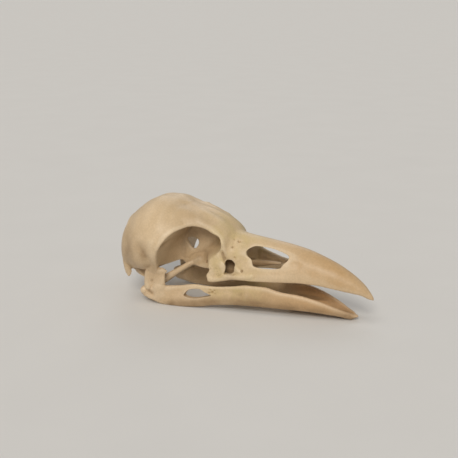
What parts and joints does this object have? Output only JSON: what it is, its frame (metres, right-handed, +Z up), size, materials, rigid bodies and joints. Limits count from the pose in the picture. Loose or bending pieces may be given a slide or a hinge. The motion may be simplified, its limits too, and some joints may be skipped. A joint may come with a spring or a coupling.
{
  "type": "crow skull",
  "caption": "Life-size crow skull of cleaned bone, lying on its lower jaw with the beak slightly open.",
  "frame": {"origin": "on the floor under the middle of the skull, halfway between the back of the braincase and the tip of the beak", "axes": "+X towards the tip of the beak, +Y to the bird's left, +Z up"},
  "size_m": [0.0921, 0.0364, 0.0366],
  "materials": {
    "bone": "dry cleaned bone, semi-matt ivory",
    "beak_bone": "dry cleaned bone, slightly smoother and warmer towards the beak's tip"
  },
  "bodies": {
    "root": {"braincase": "bone", "frontal": "bone", "upper_beak": "beak_bone", "mandible": "beak_bone", "jugal_right": "bone", "jugal_left": "bone", "palatine_right": "bone", "palatine_left": "bone", "quadrate_right": "bone", "quadrate_left": "bone", "pterygoid_right": "bone", "pterygoid_left": "bone"}
  },
  "joints": []
}
